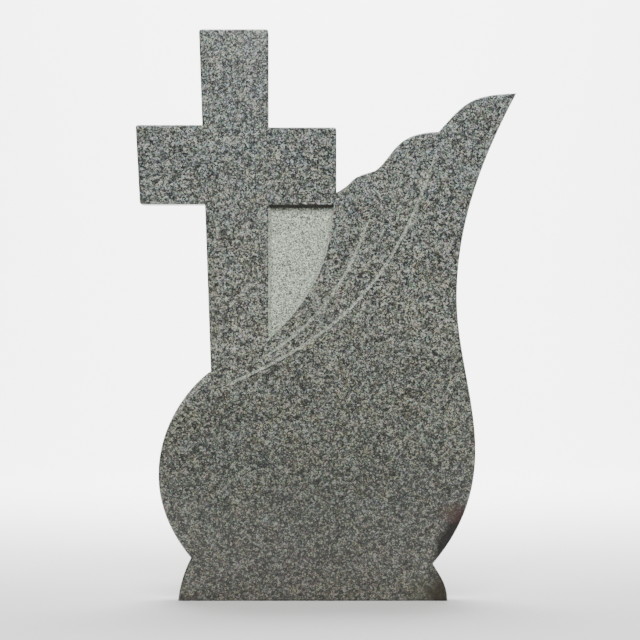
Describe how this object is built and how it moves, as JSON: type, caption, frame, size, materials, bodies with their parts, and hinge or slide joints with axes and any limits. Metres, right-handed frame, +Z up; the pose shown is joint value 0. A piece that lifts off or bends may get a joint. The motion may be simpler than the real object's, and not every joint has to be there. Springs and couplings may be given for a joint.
{
  "type": "grave monument",
  "caption": "Upright granite grave stele with a Latin cross, a rising wing that swells into a rounded body, a sunk panel and a short flared foot.",
  "frame": {"origin": "middle of the foot's underside", "axes": "+Z up along the height, the carved front faces -Y, +X towards the wing"},
  "size_m": [0.7996, 0.08, 1.2],
  "materials": {
    "granite": "polished mid-grey granite with fine black and white grain; sunk panel and carved lines left matt and paler"
  },
  "bodies": {
    "root": {"stele": "granite"}
  },
  "joints": []
}
